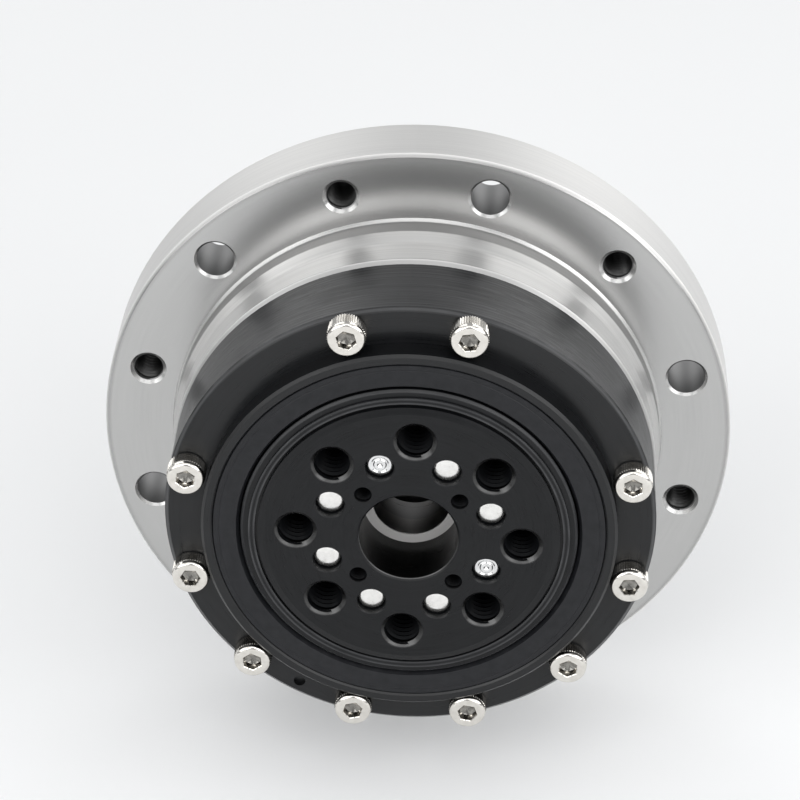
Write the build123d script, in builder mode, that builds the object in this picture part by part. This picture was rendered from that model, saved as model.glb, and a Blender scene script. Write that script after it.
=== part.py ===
# Strain wave gear with a mounting flange and a crossed roller output bearing.
# The axis of the gear lies along Y, the output face looks towards -Y and +Z is up.
# The origin is on the axis, in the front face of the flange.
# A station is a distance along the axis from that face: positive towards the output.

from build123d import *
from math import cos, pi, radians, sin, sqrt
import os

os.makedirs("parts", exist_ok=True)

# Driving dimensions, in millimetres and degrees

# Clearances
running_gap = 0.12  # between pieces that turn past each other
roller_gap = 0.1  # between a crossed roller and its tracks
race_gap = 0.3  # from the rollers' pitch circle back to either ring
fit_gap = 0.03  # round pins, races and rings that are assembled by hand
screw_gap = 0.1  # between a screw shank and its clearance hole
thread_gap = 0.05  # between a screw shank and its tapped hole
cup_gap = 1.1  # between the flexspline's thin wall and the hub round it
tooth_room = 0.6  # between the circular spline's roots and the bore in front of them

# Teeth of the circular spline and of the flexspline
flexspline_tip_radius = 25.0
flexspline_teeth = 60
circular_teeth = flexspline_teeth + 2
tooth_face_width = 10.0
tooth_height = 1.25
tooth_tip_share = 0.34  # tip thickness as a share of the pitch
tooth_foot_share = 0.66  # foot thickness as a share of the pitch

# Mounting flange and neck
flange_width = 10.5  # from the pilot out to the edge
flange_thickness = 10.0
flange_edge = 0.5
flange_hole_inset = 5.5  # from the edge in to the hole circle
flange_hole_count = 6
flange_bolt_radius = 2.75
flange_bolt_edge = 0.35
flange_bolt_turn = 15.0
flange_tap_radius = 2.1
flange_tap_edge = 0.6
flange_tap_turn = 45.0
pilot_step = 0.7  # how far the pilot stands out from the neck
pilot_length = 3.2
pilot_foot = 0.4
neck_step = 0.3  # how far the neck stands out from the bearing ring
neck_cone = 2.2
neck_length = 10.9
neck_edge = 0.7
spigot_wall = 2.63
spigot_length = 2.5
spigot_edge = 0.3
rear_mouth_step = 1.0
rear_mouth_depth = 2.0
centring_lip_length = 1.5
centring_lip_gap = 0.1

# Crossed roller bearing
roller_radius = 1.5
roller_length = 2.9
roller_inset = 3.0  # from the flexspline's tooth tips out to the rollers' pitch circle
spacer_thickness = 1.5
spacer_gap = 0.15
ring_wall = 7.0  # from the rollers' pitch circle out to the ring's side
ring_rear_width = 5.9
ring_front_width = 6.9
ring_edge = 0.6
ring_rear_edge = 0.3

# Raised collar and oil seal
ring_shoulder = 5.5  # from the ring's side in to the collar
collar_height = 3.45
collar_wall = 1.6
collar_edge = 0.4
collar_mouth = 0.25
seal_pocket_depth = 5.2
seal_shelf_width = 1.4
seal_shelf_thickness = 1.6
seal_wall = 0.6
seal_face_depth = 0.15
seal_cover = 0.8
seal_opening = 0.55
seal_edge = 0.3
seal_spring_radius = 0.4

# Ring screws
ring_screw_inset = 2.5
ring_screw_places = 12
ring_screw_first_turn = 15.0
bare_places = (1, 4)
ring_screw_radius = 1.5
ring_screw_head_radius = 2.75
ring_screw_head_height = 3.0
ring_screw_head_edge = 0.3
ring_screw_length = 19.0
ring_screw_socket = 1.25
ring_screw_socket_depth = 1.3
ring_screw_tap_depth = 8.0
mark_turn = 240.0
mark_inset = 2.2
mark_radius = 0.85
mark_depth = 0.8

# Output hub
hub_turn = 3.6  # the angle at which the output came to rest
hub_tail = 3.9  # from the rollers' plane back to the hub's rear end
hub_shoulder = 2.7  # from the rollers' plane forward to the hub's shoulder
hub_step = 1.1  # from the flexspline's tooth tips in to the hub's sealing face
hub_sink = 0.15  # how far the hub's outer land lies below the collar
hub_edge = 0.35
land_width = 1.15
rim_width = 0.9
rim_height = 0.35
groove_width = 0.45
groove_depth = 0.5
disc_height = 0.8
disc_slope_width = 1.0
disc_slope_drop = 0.3
plate_thickness = 9.4
output_tap_inset = 5.4  # from the disc's edge in to the tapped holes' circle
output_tap_count = 8
output_tap_radius = 2.5
output_tap_edge = 0.6
output_tap_depth = 8.0
clamp_screw_inset = 3.75  # from the tapped holes' circle in to the clamp screws' circle
jack_hole_inset = 2.65  # from the clamp screws' circle in to the small holes' circle
jack_hole_count = 4
jack_hole_radius = 1.25
jack_hole_depth = 6.0
output_bore_inset = 2.6  # from the small holes' circle in to the bore
output_bore_edge = 0.3

# Flexspline and what clamps it to the hub
flexspline_wall = 0.5
flexspline_rim_wall = 0.65
flexspline_rim_end = 0.5
boss_margin = 3.75  # from the clamp screws' circle out to the boss's edge
boss_thickness = 4.0
boss_lip = 1.4  # how far the boss reaches in past the output bore
diaphragm_thickness = 0.7
diaphragm_drop = 0.9
flexspline_corner = 3.0
boss_fillet = 0.6
clamp_edge_gap = 0.2
clamp_thickness = 4.4
clamp_edge = 0.5
clamp_screw_places = 8
clamp_screw_radius = 2.0
clamp_head_radius = 3.5
clamp_head_height = 4.0
clamp_head_edge = 0.4
clamp_socket = 1.5
clamp_socket_depth = 2.0
clamp_end_depth = 0.95
clamp_end_edge = 0.25
pin_places = (1, 6)
pin_radius = 2.0
pin_end_edge = 0.3
hole_mouth_edge = 0.15

# Wave generator
wave_lift = 0.82  # how far the long half axis exceeds the mean radius
wave_bearing_width = 7.0
outer_race_wall = 1.0
inner_race_wall = 1.3
ball_radius = 1.55
ball_count = 21
race_space = 2.58  # from the inner race to the outer race
track_width = 2.4
cage_wall = 1.2
cage_front = 2.4
cage_rear = 0.9
cage_pocket_gap = 0.13
plug_width = 8.0
plug_shoulder_height = 0.8
plug_web = 2.5
plug_bore_step = 3.0
plug_hole_count = 4
plug_hole_radius = 1.0
oldham_thickness = 3.0
oldham_step = 0.4  # how far the ring's bore stands clear of the hub
oldham_width = 3.2  # from the ring's bore out to the wall of the plug's pocket
oldham_lug_width = 4.9
oldham_lug_length = 2.3
oldham_gap = 0.1
washer_thickness = 0.8
retaining_ring_thickness = 1.0
retaining_ring_width = 2.6
retaining_ring_groove = 0.5
retaining_ring_mouth = 6.0
input_hub_wall = 2.9
input_hub_lug_length = 2.0
input_hub_collar_wall = 4.1
input_hub_collar_length = 6.8
input_hub_front = 3.5  # from the wave generator's middle forward to the hub's front
input_hub_rear = 11.0  # from the wave generator's middle back to the hub's rear
input_hub_edge = 0.4
input_bore_radius = 4.5
key_width = 3.0
key_height = 1.4
set_screw_radius = 1.5
set_screw_length = 2.4
set_screw_socket = 0.75
set_screw_socket_depth = 1.2
set_screw_inset = 3.2
set_screw_turns = (90, 0)

# O-rings
neck_o_ring_inset = 1.35
neck_o_ring_cord = 0.5
neck_o_ring_groove_width = 1.4
rear_o_ring_inset = 3.2
rear_o_ring_cord = 0.9
rear_o_ring_groove_width = 2.2
rear_o_ring_proud = 0.35

# Radii worked out from the driving dimensions, from the teeth outwards

circular_tip_radius = flexspline_tip_radius + running_gap
circular_root_radius = circular_tip_radius + tooth_height
cavity_radius = circular_root_radius + tooth_room
rear_mouth_radius = circular_root_radius + rear_mouth_step
spigot_radius = rear_mouth_radius + spigot_wall
rear_o_ring_circle = spigot_radius + rear_o_ring_inset
roller_circle = flexspline_tip_radius + roller_inset
track_reach = (roller_radius + roller_gap) * sqrt(2)
ring_bore_radius = roller_circle + race_gap
neck_o_ring_circle = ring_bore_radius + neck_o_ring_inset
ring_radius = roller_circle + ring_wall
screw_circle = ring_radius - ring_screw_inset
mark_circle = ring_radius - mark_inset
collar_radius = ring_radius - ring_shoulder
seal_pocket_radius = collar_radius - collar_wall
seal_shelf_radius = seal_pocket_radius - seal_shelf_width
neck_radius = ring_radius + neck_step
pilot_radius = neck_radius + pilot_step
flange_radius = pilot_radius + flange_width
flange_hole_circle = flange_radius - flange_hole_inset

# Radii from the teeth inwards
flexspline_root_radius = flexspline_tip_radius - tooth_height
flexspline_bore_radius = flexspline_root_radius - flexspline_rim_wall
flexspline_wall_radius = flexspline_bore_radius + flexspline_wall
hub_bore_radius = flexspline_wall_radius + cup_gap
hub_race_radius = roller_circle - race_gap
hub_radius = flexspline_tip_radius - hub_step
rim_outer_radius = hub_radius - land_width
rim_inner_radius = rim_outer_radius - rim_width
disc_radius = rim_inner_radius - groove_width
output_tap_circle = disc_radius - output_tap_inset
clamp_screw_circle = output_tap_circle - clamp_screw_inset
jack_hole_circle = clamp_screw_circle - jack_hole_inset
output_bore_radius = jack_hole_circle - output_bore_inset
boss_radius = clamp_screw_circle + boss_margin
boss_bore_radius = output_bore_radius - boss_lip
clamp_radius = boss_radius - clamp_edge_gap

# Stations along the axis
flange_rear_station = -flange_thickness
spigot_station = flange_rear_station - spigot_length
tooth_rear_station = spigot_station + rear_mouth_depth
tooth_front_station = tooth_rear_station + tooth_face_width
flexspline_rear_station = tooth_rear_station - flexspline_rim_end
bearing_station = neck_length + ring_rear_width
ring_face_station = bearing_station + ring_front_width
collar_station = ring_face_station + collar_height
pocket_station = collar_station - seal_pocket_depth
shelf_station = pocket_station - seal_shelf_thickness
seal_front_station = collar_station - seal_face_depth
hub_rear_station = bearing_station - hub_tail
hub_shoulder_station = bearing_station + hub_shoulder
hub_front_station = collar_station - hub_sink
rim_station = hub_front_station + rim_height
groove_station = rim_station - groove_depth
disc_station = hub_front_station + disc_height
plate_station = disc_station - plate_thickness
boss_rear_station = plate_station - boss_thickness
clamp_rear_station = boss_rear_station - clamp_thickness
clamp_end_station = disc_station - clamp_end_depth

# Wave generator: the long half axes of its ovals, and its stations
outer_race_long = flexspline_bore_radius - running_gap
outer_race_inside = outer_race_long - outer_race_wall
inner_race_long = outer_race_inside - race_space
inner_race_inside = inner_race_long - inner_race_wall
ball_path_long = inner_race_long + race_space / 2
outer_track_long = ball_path_long + ball_radius + fit_gap
inner_track_long = ball_path_long - ball_radius - fit_gap
plug_long = inner_race_inside - fit_gap
input_hub_radius = input_bore_radius + input_hub_wall
input_hub_collar_radius = input_bore_radius + input_hub_collar_wall
hub_lug_reach = input_hub_radius + input_hub_lug_length
oldham_bore_radius = input_hub_radius + oldham_step
plug_pocket_radius = oldham_bore_radius + oldham_width
plug_bore_radius = plug_pocket_radius - plug_bore_step
plug_hole_circle = (plug_pocket_radius + plug_long - wave_lift) / 2
oldham_lug_reach = plug_pocket_radius + oldham_lug_length
wave_station = tooth_rear_station + tooth_face_width / 2
bearing_rear_station = wave_station - wave_bearing_width / 2
track_rear_station = wave_station - track_width / 2
plug_rear_station = wave_station - plug_width / 2
plug_front_station = wave_station + plug_width / 2
input_hub_front_station = wave_station + input_hub_front
input_hub_rear_station = wave_station - input_hub_rear
collar_front_station = input_hub_rear_station + input_hub_collar_length
set_screw_station = input_hub_rear_station + set_screw_inset

# As many crossed rollers as the circle holds, an even number of them
roller_pitch = 2 * (roller_radius + spacer_gap) + spacer_thickness
roller_count = 2 * int(pi * roller_circle / roller_pitch)

# The profile plane: its x runs along the axis towards the output, its y is the radius
profile = Plane(origin=(0, 0, 0), x_dir=(0, -1, 0), z_dir=(-1, 0, 0))


def across(station):
    """The plane square to the axis at a station, seen from the output side."""
    return Plane.XZ.offset(station)


def wave(long_radius):
    """The long and short half axes of the wave generator's oval at a given long radius."""
    return long_radius, long_radius - 2 * wave_lift


def ring_section(points):
    """The section of a turned ring, from its corners given as station and radius."""
    with BuildSketch(profile) as section:
        with BuildLine():
            Polyline(*points, close=True)
        make_face()
    return section.sketch


def hole_edges(part, radius):
    """The round edges of one radius, as where a drill leaves a face."""
    circles = part.edges().filter_by(GeomType.CIRCLE)
    return circles.filter_by(lambda edge: abs(edge.radius - radius) < 1e-4)


# Circular spline flange: flange, neck and internal teeth in one piece of steel
groove_inner = rear_o_ring_circle - rear_o_ring_groove_width / 2
groove_outer = rear_o_ring_circle + rear_o_ring_groove_width / 2
rear_groove_depth = 2 * rear_o_ring_cord - rear_o_ring_proud
neck_groove_depth = 2 * neck_o_ring_cord + fit_gap
lip_radius = ring_bore_radius - centring_lip_gap
with BuildPart() as circular_spline_flange:
    section = ring_section(
        [
            (spigot_station, rear_mouth_radius),
            (tooth_rear_station, rear_mouth_radius),
            (tooth_rear_station, circular_tip_radius),
            (tooth_front_station, circular_tip_radius),
            (tooth_front_station, cavity_radius),
            (neck_length + centring_lip_length, cavity_radius),
            (neck_length + centring_lip_length, lip_radius),
            (neck_length, lip_radius),
            (neck_length, neck_radius - neck_edge),
            (neck_length - neck_edge, neck_radius),
            (pilot_length + neck_cone, neck_radius),
            (pilot_length, pilot_radius),
            (pilot_foot, pilot_radius),
            (0, pilot_radius + pilot_foot),
            (0, flange_radius - flange_edge),
            (-flange_edge, flange_radius),
            (flange_rear_station + flange_edge, flange_radius),
            (flange_rear_station, flange_radius - flange_edge),
            (flange_rear_station, groove_outer),
            (flange_rear_station + rear_groove_depth, groove_outer),
            (flange_rear_station + rear_groove_depth, groove_inner),
            (flange_rear_station, groove_inner),
            (flange_rear_station, spigot_radius),
            (spigot_station + spigot_edge, spigot_radius),
            (spigot_station, spigot_radius - spigot_edge),
        ]
    )
    revolve(section, axis=Axis.Y)
    with BuildSketch(across(flange_rear_station)):
        with PolarLocations(flange_hole_circle, flange_hole_count, flange_bolt_turn):
            Circle(flange_bolt_radius)
        with PolarLocations(flange_hole_circle, flange_hole_count, flange_tap_turn):
            Circle(flange_tap_radius)
    extrude(amount=flange_thickness, mode=Mode.SUBTRACT)
    chamfer(hole_edges(circular_spline_flange.part, flange_bolt_radius), flange_bolt_edge)
    chamfer(hole_edges(circular_spline_flange.part, flange_tap_radius), flange_tap_edge)
    with BuildSketch(across(neck_length)):
        Circle(neck_o_ring_circle + neck_o_ring_groove_width / 2)
        Circle(neck_o_ring_circle - neck_o_ring_groove_width / 2, mode=Mode.SUBTRACT)
    extrude(amount=-neck_groove_depth, mode=Mode.SUBTRACT)
    with BuildSketch(across(neck_length)):
        with PolarLocations(screw_circle, ring_screw_places, ring_screw_first_turn) as places:
            spots = [place for index, place in enumerate(places) if index not in bare_places]
        with Locations(*spots):
            Circle(ring_screw_radius + thread_gap)
    extrude(amount=-ring_screw_tap_depth, mode=Mode.SUBTRACT)
    circular_pitch = 2 * pi * circular_tip_radius / circular_teeth
    gap_at_tip = circular_pitch * (1 - tooth_tip_share)
    gap_at_root = circular_pitch * (1 - tooth_foot_share)
    inside = circular_tip_radius - tooth_height / 4
    gap_inside = gap_at_tip + (gap_at_tip - gap_at_root) / 4
    with BuildSketch(across(tooth_rear_station)):
        with PolarLocations(0, circular_teeth):
            Polygon(
                (inside, -gap_inside / 2),
                (circular_root_radius, -gap_at_root / 2),
                (circular_root_radius, gap_at_root / 2),
                (inside, gap_inside / 2),
                align=None,
            )
    extrude(amount=tooth_face_width, mode=Mode.SUBTRACT)
circular_spline_flange.part.label = "circular_spline_flange"
export_step(circular_spline_flange.part, "parts/circular_spline_flange.step")

# Rear half of the bearing's outer ring, bolted against the neck
with BuildPart() as bearing_ring_rear:
    section = ring_section(
        [
            (neck_length, ring_bore_radius),
            (bearing_station - track_reach + ring_bore_radius - roller_circle, ring_bore_radius),
            (bearing_station, roller_circle + track_reach),
            (bearing_station, ring_radius),
            (neck_length + ring_rear_edge, ring_radius),
            (neck_length, ring_radius - ring_rear_edge),
        ]
    )
    revolve(section, axis=Axis.Y)
    with BuildSketch(across(neck_length)):
        with Locations(*spots):
            Circle(ring_screw_radius + screw_gap)
    extrude(amount=bearing_station - neck_length, mode=Mode.SUBTRACT)
bearing_ring_rear.part.label = "bearing_ring_rear"
export_step(bearing_ring_rear.part, "parts/bearing_ring_rear.step")

# Front half of the outer ring, with the collar that holds the oil seal
with BuildPart() as bearing_ring_front:
    section = ring_section(
        [
            (bearing_station, roller_circle + track_reach),
            (bearing_station + track_reach - ring_bore_radius + roller_circle, ring_bore_radius),
            (shelf_station, ring_bore_radius),
            (shelf_station, seal_shelf_radius),
            (pocket_station, seal_shelf_radius),
            (pocket_station, seal_pocket_radius),
            (collar_station - collar_mouth, seal_pocket_radius),
            (collar_station, seal_pocket_radius + collar_mouth),
            (collar_station, collar_radius - collar_edge),
            (collar_station - collar_edge, collar_radius),
            (ring_face_station, collar_radius),
            (ring_face_station, ring_radius - ring_edge),
            (ring_face_station - ring_edge, ring_radius),
            (bearing_station, ring_radius),
        ]
    )
    revolve(section, axis=Axis.Y)
    with BuildSketch(across(bearing_station)):
        with Locations(*spots):
            Circle(ring_screw_radius + screw_gap)
    extrude(amount=ring_face_station - bearing_station, mode=Mode.SUBTRACT)
    with BuildSketch(across(ring_face_station)):
        with PolarLocations(mark_circle, 1, mark_turn):
            Circle(mark_radius)
    extrude(amount=-mark_depth, mode=Mode.SUBTRACT)
bearing_ring_front.part.label = "bearing_ring_front"
export_step(bearing_ring_front.part, "parts/bearing_ring_front.step")

# Socket head cap screws that clamp both ring halves to the neck
with BuildPart() as ring_screws:
    with BuildSketch(across(ring_face_station)):
        with Locations(*spots):
            Circle(ring_screw_head_radius)
    extrude(amount=ring_screw_head_height)
    head_top = ring_face_station + ring_screw_head_height
    top_edges = ring_screws.part.edges().filter_by(GeomType.CIRCLE).group_by(Axis.Y)[0]
    chamfer(top_edges, ring_screw_head_edge)
    with BuildSketch(across(ring_face_station)):
        with Locations(*spots):
            Circle(ring_screw_radius)
    extrude(amount=-ring_screw_length)
    with BuildSketch(across(head_top)):
        with Locations(*spots):
            RegularPolygon(ring_screw_socket, 6, major_radius=False)
    extrude(amount=-ring_screw_socket_depth, mode=Mode.SUBTRACT)
ring_screws.part.label = "ring_screws"
export_step(ring_screws.part, "parts/ring_screws.step")

# Oil seal: a steel case, the rubber with its two lips, and the spring round the main lip
case_radius = seal_pocket_radius - fit_gap
case_front_station = seal_front_station - seal_cover
case_rear_station = pocket_station + fit_gap
case_leg_radius = hub_radius + seal_opening + seal_cover
lip_contact_radius = hub_radius + running_gap
with BuildPart() as seal_case:
    section = ring_section(
        [
            (case_rear_station, case_radius - seal_wall),
            (case_front_station - seal_wall, case_radius - seal_wall),
            (case_front_station - seal_wall, case_leg_radius),
            (case_front_station, case_leg_radius),
            (case_front_station, case_radius),
            (case_rear_station, case_radius),
        ]
    )
    revolve(section, axis=Axis.Y)
seal_case.part.label = "seal_case"
export_step(seal_case.part, "parts/seal_case.step")

spring_circle = case_leg_radius - seal_wall / 2 + seal_spring_radius
spring_station = case_rear_station + 2 * seal_spring_radius
with BuildPart() as seal_rubber:
    section = ring_section(
        [
            (seal_front_station, hub_radius + seal_opening),
            (seal_front_station, case_radius - seal_edge),
            (seal_front_station - seal_edge, case_radius),
            (case_front_station, case_radius),
            (case_front_station, case_leg_radius),
            (case_front_station - seal_wall, case_leg_radius),
            (case_front_station - seal_wall, case_leg_radius + seal_wall),
            (spring_station + seal_spring_radius, case_leg_radius + seal_wall / 2),
            (spring_station + seal_spring_radius, case_leg_radius - seal_wall / 2),
            (spring_station - seal_spring_radius, case_leg_radius - seal_wall / 2),
            (spring_station, lip_contact_radius),
            (case_front_station - 2 * seal_wall, case_leg_radius - seal_wall),
            (case_front_station, lip_contact_radius),
        ]
    )
    revolve(section, axis=Axis.Y)
seal_rubber.part.label = "seal_rubber"
export_step(seal_rubber.part, "parts/seal_rubber.step")

with BuildPart() as seal_spring:
    with BuildSketch(profile):
        with Locations((spring_station, spring_circle)):
            Circle(seal_spring_radius - fit_gap)
    revolve(axis=Axis.Y)
seal_spring.part.label = "seal_spring"
export_step(seal_spring.part, "parts/seal_spring.step")

# O-rings: one under the bearing ring, one standing a little proud of the flange's rear face
with BuildPart() as neck_o_ring:
    with BuildSketch(profile):
        with Locations((neck_length - neck_groove_depth / 2, neck_o_ring_circle)):
            Circle(neck_o_ring_cord)
    revolve(axis=Axis.Y)
neck_o_ring.part.label = "neck_o_ring"
export_step(neck_o_ring.part, "parts/neck_o_ring.step")

rear_o_ring_station = flange_rear_station + rear_o_ring_cord - rear_o_ring_proud
with BuildPart() as flange_o_ring:
    with BuildSketch(profile):
        with Locations((rear_o_ring_station, rear_o_ring_circle)):
            Circle(rear_o_ring_cord)
    revolve(axis=Axis.Y)
flange_o_ring.part.label = "flange_o_ring"
export_step(flange_o_ring.part, "parts/flange_o_ring.step")

# Crossed rollers: each one's axis leans 45 degrees, the other way from its neighbour
roller_step = 360 / roller_count


def around(radius, station, turn):
    """A point at a radius and a station, turned from +X towards +Z."""
    angle = radians(turn)
    return radius * cos(angle), -station, radius * sin(angle)


with BuildPart() as cross_rollers:
    for index in range(roller_count):
        turn = index * roller_step
        lean = 1 if index % 2 else -1
        outward = Vector(around(1, 0, turn))
        along = outward + Vector(0, lean, 0)
        with BuildSketch(Plane(around(roller_circle, bearing_station, turn), z_dir=along)):
            Circle(roller_radius)
        extrude(amount=roller_length / 2, both=True)
cross_rollers.part.label = "cross_rollers"
export_step(cross_rollers.part, "parts/cross_rollers.step")

# Spacers: square blocks that fill the track between two rollers
spacer_side = 2 * (roller_radius + roller_gap - spacer_gap)
with BuildPart() as roller_spacers:
    for index in range(roller_count):
        turn = (index + 0.5) * roller_step
        centre = around(roller_circle, bearing_station, turn)
        square_on = Plane(centre, x_dir=around(1, 0, turn), z_dir=around(1, 0, turn + 90))
        with BuildSketch(square_on):
            Rectangle(spacer_side, spacer_side, rotation=45)
        extrude(amount=spacer_thickness / 2, both=True)
roller_spacers.part.label = "roller_spacers"
export_step(roller_spacers.part, "parts/roller_spacers.step")

# Output hub: the bearing's inner ring and the output plate in one piece
hub_zero = 90 - hub_turn
tap_step = 360 / output_tap_count
between_taps = hub_zero - tap_step / 2
with BuildPart() as output_hub:
    section = ring_section(
        [
            (hub_rear_station, hub_bore_radius),
            (plate_station, hub_bore_radius),
            (plate_station, output_bore_radius),
            (disc_station, output_bore_radius),
            (disc_station, disc_radius - disc_slope_width),
            (disc_station - disc_slope_drop, disc_radius),
            (groove_station, disc_radius),
            (groove_station, rim_inner_radius),
            (rim_station, rim_inner_radius),
            (rim_station, rim_outer_radius),
            (hub_front_station, rim_outer_radius),
            (hub_front_station, hub_radius - hub_edge),
            (hub_front_station - hub_edge, hub_radius),
            (hub_shoulder_station, hub_radius),
            (hub_shoulder_station, hub_race_radius),
            (bearing_station + track_reach - roller_circle + hub_race_radius, hub_race_radius),
            (bearing_station, roller_circle - track_reach),
            (bearing_station - track_reach + roller_circle - hub_race_radius, hub_race_radius),
            (hub_rear_station, hub_race_radius),
        ]
    )
    revolve(section, axis=Axis.Y)
    with BuildSketch(across(disc_station)):
        with PolarLocations(output_tap_circle, output_tap_count, hub_zero):
            Circle(output_tap_radius)
    extrude(amount=-output_tap_depth, mode=Mode.SUBTRACT)
    mouths = hole_edges(output_hub.part, output_tap_radius).group_by(Axis.Y)[0]
    chamfer(mouths, output_tap_edge)
    with BuildSketch(across(disc_station)):
        with PolarLocations(jack_hole_circle, jack_hole_count, hub_zero - tap_step):
            Circle(jack_hole_radius)
    extrude(amount=-jack_hole_depth, mode=Mode.SUBTRACT)
    with BuildSketch(across(plate_station)):
        with PolarLocations(clamp_screw_circle, clamp_screw_places, between_taps) as places:
            screw_spots = [p for index, p in enumerate(places) if index not in pin_places]
            pin_spots = [p for index, p in enumerate(places) if index in pin_places]
        with Locations(*screw_spots):
            Circle(clamp_screw_radius + thread_gap)
        with Locations(*pin_spots):
            Circle(pin_radius + fit_gap)
    extrude(amount=disc_station - plate_station, mode=Mode.SUBTRACT)
    chamfer(
        hole_edges(output_hub.part, clamp_screw_radius + thread_gap).group_by(Axis.Y)[0],
        hole_mouth_edge,
    )
    chamfer(
        hole_edges(output_hub.part, pin_radius + fit_gap).group_by(Axis.Y)[0],
        hole_mouth_edge,
    )
    chamfer(
        hole_edges(output_hub.part, output_bore_radius).group_by(Axis.Y)[0],
        output_bore_edge,
    )
output_hub.part.label = "output_hub"
export_step(output_hub.part, "parts/output_hub.step")

# Flexspline: a thin steel cup with teeth round its open rim, drawn in its free round shape
diaphragm_front = plate_station - diaphragm_drop
diaphragm_rear = diaphragm_front - diaphragm_thickness
inner_corner = flexspline_corner - flexspline_wall
corner_station = diaphragm_front - flexspline_corner
with BuildPart() as flexspline:
    with BuildSketch(profile):
        with BuildLine():
            Polyline(
                (corner_station, flexspline_wall_radius),
                (tooth_front_station, flexspline_wall_radius),
                (tooth_front_station, flexspline_root_radius),
                (flexspline_rear_station, flexspline_root_radius),
                (flexspline_rear_station, flexspline_bore_radius),
                (corner_station, flexspline_bore_radius),
            )
            RadiusArc(
                (corner_station, flexspline_bore_radius),
                (diaphragm_rear, flexspline_wall_radius - flexspline_corner),
                inner_corner + (flexspline_wall - diaphragm_thickness) / 2,
            )
            Polyline(
                (diaphragm_rear, flexspline_wall_radius - flexspline_corner),
                (diaphragm_rear, boss_radius + boss_fillet),
                (diaphragm_rear - boss_fillet, boss_radius),
                (boss_rear_station, boss_radius),
                (boss_rear_station, boss_bore_radius),
                (plate_station, boss_bore_radius),
                (plate_station, boss_radius),
                (diaphragm_front, boss_radius + boss_fillet),
                (diaphragm_front, flexspline_wall_radius - flexspline_corner),
            )
            RadiusArc(
                (diaphragm_front, flexspline_wall_radius - flexspline_corner),
                (corner_station, flexspline_wall_radius),
                -flexspline_corner,
            )
        make_face()
    revolve(axis=Axis.Y)
    flex_pitch = 2 * pi * flexspline_tip_radius / flexspline_teeth
    tip_width = flex_pitch * tooth_tip_share
    foot_width = flex_pitch * tooth_foot_share
    below = flexspline_root_radius - flexspline_rim_wall / 2
    with BuildSketch(across(tooth_rear_station)):
        with PolarLocations(0, flexspline_teeth):
            Polygon(
                (below, -foot_width / 2),
                (flexspline_root_radius, -foot_width / 2),
                (flexspline_tip_radius, -tip_width / 2),
                (flexspline_tip_radius, tip_width / 2),
                (flexspline_root_radius, foot_width / 2),
                (below, foot_width / 2),
                align=None,
            )
    extrude(amount=tooth_face_width)
    with BuildSketch(across(boss_rear_station)):
        with Locations(*screw_spots):
            Circle(clamp_screw_radius + screw_gap)
        with Locations(*pin_spots):
            Circle(pin_radius + fit_gap)
    extrude(amount=boss_thickness, mode=Mode.SUBTRACT)
flexspline.part.label = "flexspline"
export_step(flexspline.part, "parts/flexspline.step")

# Clamp ring: spreads the load of the screws over the flexspline's boss
with BuildPart() as flexspline_clamp_ring:
    section = ring_section(
        [
            (clamp_rear_station, boss_bore_radius),
            (boss_rear_station, boss_bore_radius),
            (boss_rear_station, clamp_radius),
            (clamp_rear_station + clamp_edge, clamp_radius),
            (clamp_rear_station, clamp_radius - clamp_edge),
        ]
    )
    revolve(section, axis=Axis.Y)
    with BuildSketch(across(clamp_rear_station)):
        with Locations(*screw_spots):
            Circle(clamp_screw_radius + screw_gap)
        with Locations(*pin_spots):
            Circle(pin_radius + fit_gap)
    extrude(amount=clamp_thickness, mode=Mode.SUBTRACT)
flexspline_clamp_ring.part.label = "flexspline_clamp_ring"
export_step(flexspline_clamp_ring.part, "parts/flexspline_clamp_ring.step")

# Screws from inside the cup into the output hub, their ends just below its face
with BuildPart() as flexspline_screws:
    with BuildSketch(across(clamp_rear_station)):
        with Locations(*screw_spots):
            Circle(clamp_head_radius)
    extrude(amount=-clamp_head_height)
    head_edges = flexspline_screws.part.edges().filter_by(GeomType.CIRCLE).group_by(Axis.Y)[-1]
    chamfer(head_edges, clamp_head_edge)
    with BuildSketch(across(clamp_rear_station)):
        with Locations(*screw_spots):
            Circle(clamp_screw_radius)
    extrude(amount=clamp_end_station - clamp_rear_station)
    end_edges = flexspline_screws.part.edges().filter_by(GeomType.CIRCLE).group_by(Axis.Y)[0]
    chamfer(end_edges, clamp_end_edge)
    with BuildSketch(across(clamp_rear_station - clamp_head_height)):
        with Locations(*screw_spots):
            RegularPolygon(clamp_socket, 6, major_radius=False)
    extrude(amount=clamp_socket_depth, mode=Mode.SUBTRACT)
flexspline_screws.part.label = "flexspline_screws"
export_step(flexspline_screws.part, "parts/flexspline_screws.step")

# Dowel pins that carry the torque from the flexspline to the hub
with BuildPart() as dowel_pins:
    with BuildSketch(across(clamp_rear_station)):
        with Locations(*pin_spots):
            Circle(pin_radius)
    extrude(amount=clamp_end_station - clamp_rear_station)
    chamfer(dowel_pins.part.edges().filter_by(GeomType.CIRCLE), pin_end_edge)
dowel_pins.part.label = "dowel_pins"
export_step(dowel_pins.part, "parts/dowel_pins.step")

# Thin ball bearing of the wave generator, its races bent to the oval of the plug


def oval_ring(outside_long, inside_long, station):
    """The outline at a station of a ring between two ovals of the wave."""
    with BuildSketch(across(station)) as outline:
        Ellipse(*wave(outside_long))
        Ellipse(*wave(inside_long), mode=Mode.SUBTRACT)
    return outline.sketch


with BuildPart() as wave_outer_race:
    extrude(
        oval_ring(outer_race_long, outer_race_inside, bearing_rear_station),
        amount=wave_bearing_width,
    )
    extrude(
        oval_ring(outer_track_long, outer_race_inside - fit_gap, track_rear_station),
        amount=track_width,
        mode=Mode.SUBTRACT,
    )
wave_outer_race.part.label = "wave_outer_race"
export_step(wave_outer_race.part, "parts/wave_outer_race.step")

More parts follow.
